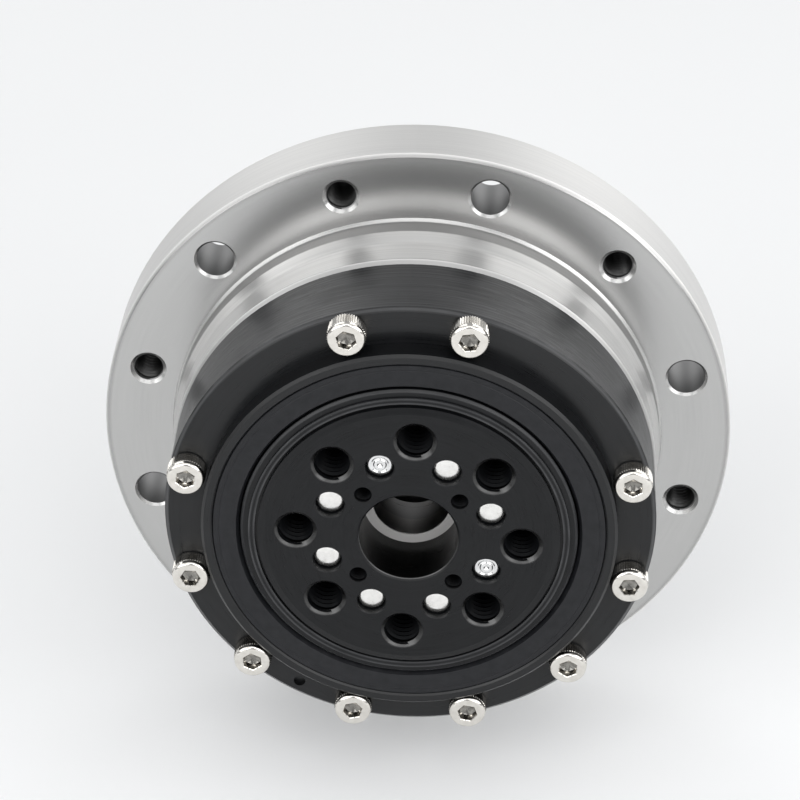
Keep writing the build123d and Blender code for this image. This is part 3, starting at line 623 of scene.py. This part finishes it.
# %% [markdown]
# ## Plated, ground, rubber and plastic finishes
#
# The screws are nickel plated: warm, bright and a little uneven. Balls, rollers, races and pins
# are ground, so they are smoother than anything turned. The seal and the O-rings are rubber,
# whose moulded skin scatters light evenly, with a faint bloom. None of them shows rings, so
# their colour and gloss drift in small patches instead, each at its own scale.

# %% A mottled finish
METAL = 1.0
NOT_METAL = 0.0
GRAIN_BUMP = 0.05
GRAIN_DEPTH = 0.00003
GRAIN_FINER = 8


def mottled(name, first, second, metallic, roughness, scale, bump=GRAIN_BUMP, **sockets):
    """A finish whose colour and gloss drift in small patches, over a finer bump."""
    finish = Varied(name, first, metallic, roughness[0], **sockets)
    patches = finish.noise(finish.place(), scale, 4.0, 0.6)
    finish.link(finish.blend(finish.spread(patches, 0.0, 1.0), first, second), "Base Color")
    finish.link(finish.spread(patches, *roughness), "Roughness")
    finish.bump(finish.noise(finish.place(), scale * GRAIN_FINER), bump, GRAIN_DEPTH)
    return finish.material


# %% Plated, rolled, ground and coated metals
nickel = mottled(
    "nickel_plated_screw", (0.78, 0.755, 0.71), (0.66, 0.635, 0.59), METAL, (0.08, 0.2), 900.0
)
# darker nickel for the faces of the screws' sockets: painted shade inside them
socket_painted_shade = mottled(
    "shaded_socket", (0.3, 0.29, 0.27), (0.16, 0.155, 0.145), METAL, (0.15, 0.3), 1500.0
)
screw_end = mottled(
    "rolled_screw_end", (0.88, 0.87, 0.85), (0.74, 0.73, 0.71), METAL, (0.14, 0.3), 900.0, 0.15
)
ground = mottled(
    "ground_bearing_steel", (0.78, 0.78, 0.78), (0.7, 0.7, 0.7), METAL, (0.08, 0.16), 500.0
)
spring_steel = mottled(
    "phosphated_spring_steel", (0.09, 0.09, 0.1), (0.14, 0.14, 0.14), METAL, (0.3, 0.45), 900.0
)
black_screw = mottled(
    "black_oxide_screw", (0.03, 0.03, 0.03), (0.05, 0.05, 0.05), METAL, (0.3, 0.45), 900.0
)
wear(nickel, "ring_screws")
wear(screw_end, "flexspline_screws")
wear(ground, "cross_rollers", "dowel_pins", "wave_balls", "wave_inner_race", "wave_outer_race")
wear(spring_steel, "seal_spring", "retaining_ring")
wear(black_screw, "hub_set_screws")

# %% Rubber and plastic skins
seal_skin = mottled(
    "seal_rubber_skin", (0.006, 0.0065, 0.008), (0.012, 0.0125, 0.0145), NOT_METAL,
    (0.34, 0.5), 700.0, 0.15, Specular_IOR_Level=0.28,
)
ring_skin = mottled(
    "o_ring_rubber_skin", (0.01, 0.01, 0.01), (0.02, 0.02, 0.02), NOT_METAL,
    (0.3, 0.45), 900.0, 0.1,
)
cage_plastic = mottled(
    "cage_plastic_skin", (0.05, 0.12, 0.07), (0.07, 0.15, 0.09), NOT_METAL,
    (0.35, 0.5), 600.0, 0.1,
)
spacer_plastic = mottled(
    "spacer_plastic_skin", (0.75, 0.7, 0.58), (0.68, 0.63, 0.5), NOT_METAL,
    (0.35, 0.5), 600.0, 0.1,
)
wear(seal_skin, "seal_rubber")
wear(ring_skin, "neck_o_ring", "flange_o_ring")
wear(cage_plastic, "wave_ball_cage")
wear(spacer_plastic, "roller_spacers")

# %% [markdown]
# ## Floor finish
#
# A pale sheet of matt board, with a very slight drift in tone so that it isn't a flat colour.

# %% Floor finish
board = mottled(
    "pale_board", (0.86, 0.865, 0.87), (0.84, 0.845, 0.85), NOT_METAL, (0.6, 0.7), 3.0, 0.0
)
floor.data.materials.append(board)
print("floor wears", board.name)

# %% [markdown]
# ## Outlines
#
# Screws and pins are round, but their sockets and knurls aren't, so spinning a section can't
# make them. What they all have is an outline at each height. An outline here is a function that
# gives the radius at any turn, so a circle, a knurl and a hexagon can follow one another.

# %% Outlines
def circle(radius):
    """The same radius all the way round."""
    return lambda turn: radius


def knurl(radius, depth, points):
    """Alternately full and reduced radius, for a straight knurl."""
    return lambda turn: radius - depth * (round(turn * points / (2 * pi)) % 2)


def hexagon(flat):
    """The outline of a hexagon whose flats are at this distance from the middle."""
    return lambda turn: flat / cos((turn + pi / 6) % (pi / 3) - pi / 6)


print("a hexagon with flats at 1 has corners at", round(hexagon(1.0)(pi / 6), 3))

# %% [markdown]
# ## A shape made of loops
#
# A loop of points is extruded again and again, up the head, over the edge and down into the
# socket. At each step the points take a new height and the radius of a new outline. Both ends
# are filled at last. The shapes stand on z = 0, with their sizes in millimetres.

# %% A shape made of loops
def loops(bm, steps, points):
    """Extrudes a loop of points through steps of height and outline, and closes both ends."""
    fresh = bmesh.ops.create_circle(bm, segments=points, radius=1.0, cap_ends=False)["verts"]
    first = edges = bm.edges[:]
    for number, (height, outline) in enumerate(steps):
        if number:
            out = bmesh.ops.extrude_edge_only(bm, edges=edges)["geom"]
            edges = [part for part in out if isinstance(part, bmesh.types.BMEdge)]
            fresh = [part for part in out if isinstance(part, bmesh.types.BMVert)]
        for vert in fresh:
            turn = vert.co.xy.angle_signed(Vector((1, 0))) % (2 * pi)
            size = outline(turn)
            vert.co = (size * cos(turn), size * sin(turn), height)
    bmesh.ops.edgeloop_fill(bm, edges=first)
    bmesh.ops.edgeloop_fill(bm, edges=edges)
    bmesh.ops.recalc_face_normals(bm, faces=bm.faces)


# %% [markdown]
# ## From a shape to a piece
#
# The same screw is needed ten times. An array modifier could repeat it, but every screw stopped
# at a turn of its own, so each gets its own seat. A seat is a matrix that shrinks the shape from
# millimetres to metres, spins it, lays it along the axis and moves it out to its circle.

# %% Seats and copies
def seat(radius, station, turn, spin=0.0):
    """Where a shape goes: its +Z looks towards the output, at a turn round the axis."""
    angle = radians(turn)
    place = Vector((radius * cos(angle), -station, radius * sin(angle))) * MM
    lying = Matrix.Rotation(pi / 2, 4, "X") @ Matrix.Rotation(spin, 4, "Z")
    return Matrix.Translation(place) @ lying @ Matrix.Scale(MM, 4)


def repeated(make, seats):
    """One bmesh with a copy of a shape at each seat."""
    whole = bmesh.new()
    for place in seats:
        single = bmesh.new()
        make(single)
        single.transform(place)
        spare = bpy.data.meshes.new("spare")
        single.to_mesh(spare)
        single.free()
        whole.from_mesh(spare)
        bpy.data.meshes.remove(spare)
    return whole


# %% A finished piece
def piece(name, bm, materials, body, smooth=35.0):
    """Turns a bmesh into a finished piece that rides on a body."""
    mesh = bpy.data.meshes.new(name)
    bm.to_mesh(mesh)
    bm.free()
    for material in materials:
        mesh.materials.append(material)
    mesh.shade_smooth()
    mesh.set_sharp_from_angle(angle=radians(smooth))
    thing = bpy.data.objects.new(name, mesh)
    bpy.context.scene.collection.objects.link(thing)
    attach(thing, body)
    print(name, len(mesh.polygons), "faces")
    return thing


# %% [markdown]
# ## Ring screws
#
# Ten small socket head screws clamp the bearing ring. What gives them away as bought screws is
# the knurl round the head, the rounded top edge and the hexagonal socket with its cone at the
# bottom, whose faces are painted dark as shade. The imported model's screws are plain, so these
# stand in for them. A cylinder with a bevel and a cut socket would need its faces picked for the
# knurl, so loops make it all.

# %% One ring screw
RING_FACE = 23.7
HEAD = 2.75
TOP = station_of("ring_screws") - RING_FACE
SHANK = 1.5
SHANK_LENGTH = 19.0
SOCKET = 1.25
KNURL_POINTS = 96


def cap_screw(bm):
    """A socket head cap screw, its head on the plane z = 0 and its socket looking up."""
    rough = knurl(HEAD, 0.16, KNURL_POINTS)
    steps = [
        # up the shank and out under the head
        (-SHANK_LENGTH, circle(SHANK - 0.3)),
        (-SHANK_LENGTH + 0.3, circle(SHANK)),
        (0, circle(SHANK)),
        (0, circle(HEAD - 0.3)),
        # up the knurl
        (0.15, circle(HEAD - 0.16)),
        (0.2, rough),
        (TOP - 0.9, rough),
        # up the plain band and over the edge
        (TOP - 0.83, circle(HEAD - 0.13)),
        (TOP - 0.3, circle(HEAD - 0.16)),
        (TOP - 0.12, circle(HEAD - 0.28)),
        (TOP, circle(HEAD - 0.5)),
        (TOP, circle(HEAD - 0.6)),
        # down into the socket
        (TOP, hexagon(SOCKET + 0.09)),
        (TOP - 0.08, hexagon(SOCKET)),
        (TOP - 1.3, hexagon(SOCKET)),
        (TOP - 1.35, circle(SOCKET * 0.96)),
        (TOP - 1.75, circle(0.1)),
    ]
    loops(bm, steps, KNURL_POINTS)
    # the socket's faces take the second material, a painted shade
    for face in bm.faces:
        middle = face.calc_center_median()
        if middle.xy.length < SOCKET + 0.05 and middle.z > 0:
            face.material_index = 1


print("screw head is", round(TOP, 2), "high")

# %% Ten ring screws, each at its own turn
SCREW_CIRCLE = 32.5
SCREW_TURNS = [15 + 30 * k for k in range(12) if k not in (1, 4)]
spins = [radians((37 * k) % 60) for k in range(len(SCREW_TURNS))]
seats = [seat(SCREW_CIRCLE, RING_FACE, t, s) for t, s in zip(SCREW_TURNS, spins)]
fine_screws = piece(
    "ring_cap_screws", repeated(cap_screw, seats),
    [nickel, socket_painted_shade], "housing", 30,
)
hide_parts("ring_screws")

# %% [markdown]
# ## Screw ends in the output face
#
# Six screws come through from inside the cup. They stop just below the black disc, so that only
# their ends show, rolled to a low dome. A smooth dome needs only a few loops when they are
# closest where it bends most.

# %% One clamp screw
CLAMP_HEAD = 3.5
CLAMP_HEAD_HEIGHT = 4.0
CLAMP_SOCKET = 1.5
clamp_rear = station_of("flexspline_screws", front=False)
clamp_seat = clamp_rear + CLAMP_HEAD_HEIGHT
clamp_end = station_of("flexspline_screws")


def clamp_screw(bm):
    """A socket head cap screw whose head is below z = 0 and whose end looks up."""
    end = clamp_end - clamp_seat
    head = clamp_rear - clamp_seat
    rough = knurl(CLAMP_HEAD, 0.14, KNURL_POINTS)
    steps = [
        # out of the socket
        (head + 1.9, circle(0.2)),
        (head + 1.6, circle(1.45)),
        (head + 1.5, hexagon(CLAMP_SOCKET)),
        (head + 0.15, hexagon(CLAMP_SOCKET)),
        (head, circle(1.85)),
        # over the edge and along the knurl
        (head, circle(3.0)),
        (head + 0.15, circle(3.3)),
        (head + 0.45, circle(3.45)),
        (head + 0.5, rough),
        (-0.25, rough),
        (-0.15, circle(3.4)),
        (0, circle(3.25)),
        # up the shank and over the dome
        (0, circle(1.95)),
        (end - 0.36, circle(1.98)),
        (end - 0.24, circle(1.93)),
        (end - 0.14, circle(1.8)),
        (end - 0.07, circle(1.5)),
        (end - 0.03, circle(1.0)),
        (end, circle(0.3)),
    ]
    loops(bm, steps, KNURL_POINTS)


print("clamp screws run from", round(clamp_rear, 2), "to", round(clamp_end, 2))

# %% Six clamp screws
CLAMP_CIRCLE = 12.25
CLAMP_TURNS = [63.9 + 45 * k for k in range(8) if k not in (1, 6)]
clamp_seats = [seat(CLAMP_CIRCLE, clamp_seat, t, radians(11 * t)) for t in CLAMP_TURNS]
fine_clamps = piece(
    "clamp_cap_screws", repeated(clamp_screw, clamp_seats),
    [screw_end], "output",
)
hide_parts("flexspline_screws")

# %% [markdown]
# ## Pins in the output face
#
# Two of the eight places on the screws' circle hold dowel pins instead. They are flat, with a
# ground bevel, a shallow ring and the centre mark of the grinder. Insets and bevels on a
# cylinder could make them, but the loops are there already and need no faces picked.

# %% Two dowel pins
PIN_TURNS = [108.9, 333.9]
PIN_POINTS = 48
PIN_BEHIND_SEAT = 4.4


def pin(bm):
    """A ground dowel pin with its front end at z = 0."""
    length = clamp_end - clamp_seat + PIN_BEHIND_SEAT
    steps = [
        # up the side and over the bevel
        (-length, circle(1.7)),
        (0.3 - length, circle(1.99)),
        (-0.42, circle(1.99)),
        (-0.12, circle(1.82)),
        (-0.02, circle(1.6)),
        # through the shallow ring and into the centre mark
        (0, circle(1.3)),
        (-0.1, circle(1.12)),
        (-0.1, circle(0.95)),
        (0, circle(0.8)),
        (0, circle(0.4)),
        (-0.25, circle(0.12)),
    ]
    loops(bm, steps, PIN_POINTS)


pin_seats = [seat(CLAMP_CIRCLE, clamp_end, t) for t in PIN_TURNS]
fine_pins = piece(
    "ringed_pins", repeated(pin, pin_seats), [ground], "output", 20
)
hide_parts("dowel_pins")

# %% [markdown]
# ## Seal
#
# Moulded rubber has no sharp edges. The seal's section is drawn once, with its rounded rim, the
# shallow groove near it, the face and the two lips that run on the hub, and then spun round the
# axis. A bevelled curve could make a ring too, but a spin takes the section as it is drawn.

# %% The seal's section
SEAL_BORE = 24.45
CASE_BORE = 25.25
LIP_ROOT = 24.95
LIP = 24.03
seal_front = station_of("seal_rubber")
seal_radius = reach("seal_rubber", 0)
SEAL_SECTION = [
    # depth behind the front, radius: the face, its groove and the rounded rim
    (0.24, SEAL_BORE),
    (0.07, SEAL_BORE + 0.06),
    (0.0, SEAL_BORE + 0.24),
    (0.0, seal_radius - 0.95),
    (0.05, seal_radius - 0.9),
    (0.05, seal_radius - 0.72),
    (0.0, seal_radius - 0.66),
    (0.0, seal_radius - 0.3),
    (0.06, seal_radius - 0.12),
    (0.26, seal_radius),
    (0.8, seal_radius),
    # inside the steel case
    (0.8, CASE_BORE),
    (1.4, CASE_BORE),
    (1.4, CASE_BORE + 0.6),
    (3.82, CASE_BORE + 0.3),
    # the sealing lip, then the dust lip
    (3.82, LIP_ROOT),
    (4.62, LIP_ROOT),
    (4.3, LIP + 0.07),
    (4.2, LIP - 0.01),
    (4.1, LIP + 0.07),
    (2.0, LIP + 0.62),
    (0.86, LIP),
    (0.76, LIP),
]
print("seal section has", len(SEAL_SECTION), "corners")

# %% Seal
SEAL_STEPS = 240
bm = bmesh.new()
corners = [
    bm.verts.new((radius * MM, (depth - seal_front) * MM, 0)) for depth, radius in SEAL_SECTION
]
edges = [bm.edges.new(pair) for pair in zip(corners, corners[1:] + corners[:1])]
bmesh.ops.spin(
    bm, geom=corners + edges, cent=(0, 0, 0), axis=(0, 1, 0), dvec=(0, 0, 0),
    angle=2 * pi, steps=SEAL_STEPS, use_merge=True, use_duplicate=False,
)
bmesh.ops.recalc_face_normals(bm, faces=bm.faces)
moulded_seal = piece("moulded_seal", bm, [seal_skin], "housing", 40)
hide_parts("seal_rubber")

# %% [markdown]
# ## Threads
#
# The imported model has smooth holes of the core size. A thread is a ridge that winds down the
# wall, so a small triangle is spun round the hole's axis and lifted by one pitch each turn. A
# bump could imitate it, but it would leave the mouth of the hole smooth. At both ends the ridge
# runs out into the wall.

# %% A thread ridge
THREAD_STEPS = 30
WALL_OVERLAP = 0.03
HALF_RIDGE = 0.42
RUN_OUT = 0.98


def thread(core, pitch, length, rise):
    """Makes a function that winds a thread ridge down from the plane z = 0."""
    wall = core + WALL_OVERLAP
    half = HALF_RIDGE * pitch
    turns = length / pitch
    steps = int(turns * THREAD_STEPS)

    def make(bm):
        ridge = ((wall, 0, -half), (core - rise, 0, 0), (wall, 0, half))
        face = bm.faces.new([bm.verts.new(corner) for corner in ridge])
        bmesh.ops.translate(bm, verts=bm.verts, vec=(0, 0, -length))
        bmesh.ops.spin(
            bm, geom=[face, *face.edges, *face.verts], cent=(0, 0, 0), axis=(0, 0, 1),
            dvec=(0, 0, length / steps), angle=2 * pi * turns, steps=steps,
            use_duplicate=False,
        )
        for vert in bm.verts:
            depth = min(-vert.co.z, length + vert.co.z)
            fade = min(1.0, max(0.0, 1.0 - depth / pitch))
            radius = vert.co.xy.length
            grown = radius + (wall - radius) * RUN_OUT * fade
            vert.co.x *= grown / radius
            vert.co.y *= grown / radius
        bmesh.ops.recalc_face_normals(bm, faces=bm.faces)
    return make


print("a thread has", THREAD_STEPS, "steps to the turn")

# %% Threads in the tapped holes
hub_face = station_of("output_hub")
large_thread = thread(core=2.5, pitch=1.0, length=6.8, rise=0.3)
flange_thread = thread(core=2.1, pitch=0.8, length=8.6, rise=0.25)
small_thread = thread(core=1.25, pitch=0.5, length=5.5, rise=0.15)
large_seats = [seat(OUTPUT_CIRCLE, hub_face - 0.6, OUTPUT_TURN + 45 * k) for k in range(8)]
flange_seats = [seat(FLANGE_CIRCLE, -0.7, 45 + 60 * k) for k in range(6)]
small_seats = [seat(SMALL_CIRCLE, hub_face - 0.25, SMALL_TURN + 90 * k) for k in range(4)]
piece(
    "output_threads", repeated(large_thread, large_seats),
    [tapped_black], "output", 50,
)
# the flange's threads wear the oil and painted shade finish
piece(
    "flange_threads", repeated(flange_thread, flange_seats),
    [tapped_oil_and_painted_shade], "housing", 50,
)
piece(
    "small_hole_threads", repeated(small_thread, small_seats),
    [tapped_black], "output", 50,
)
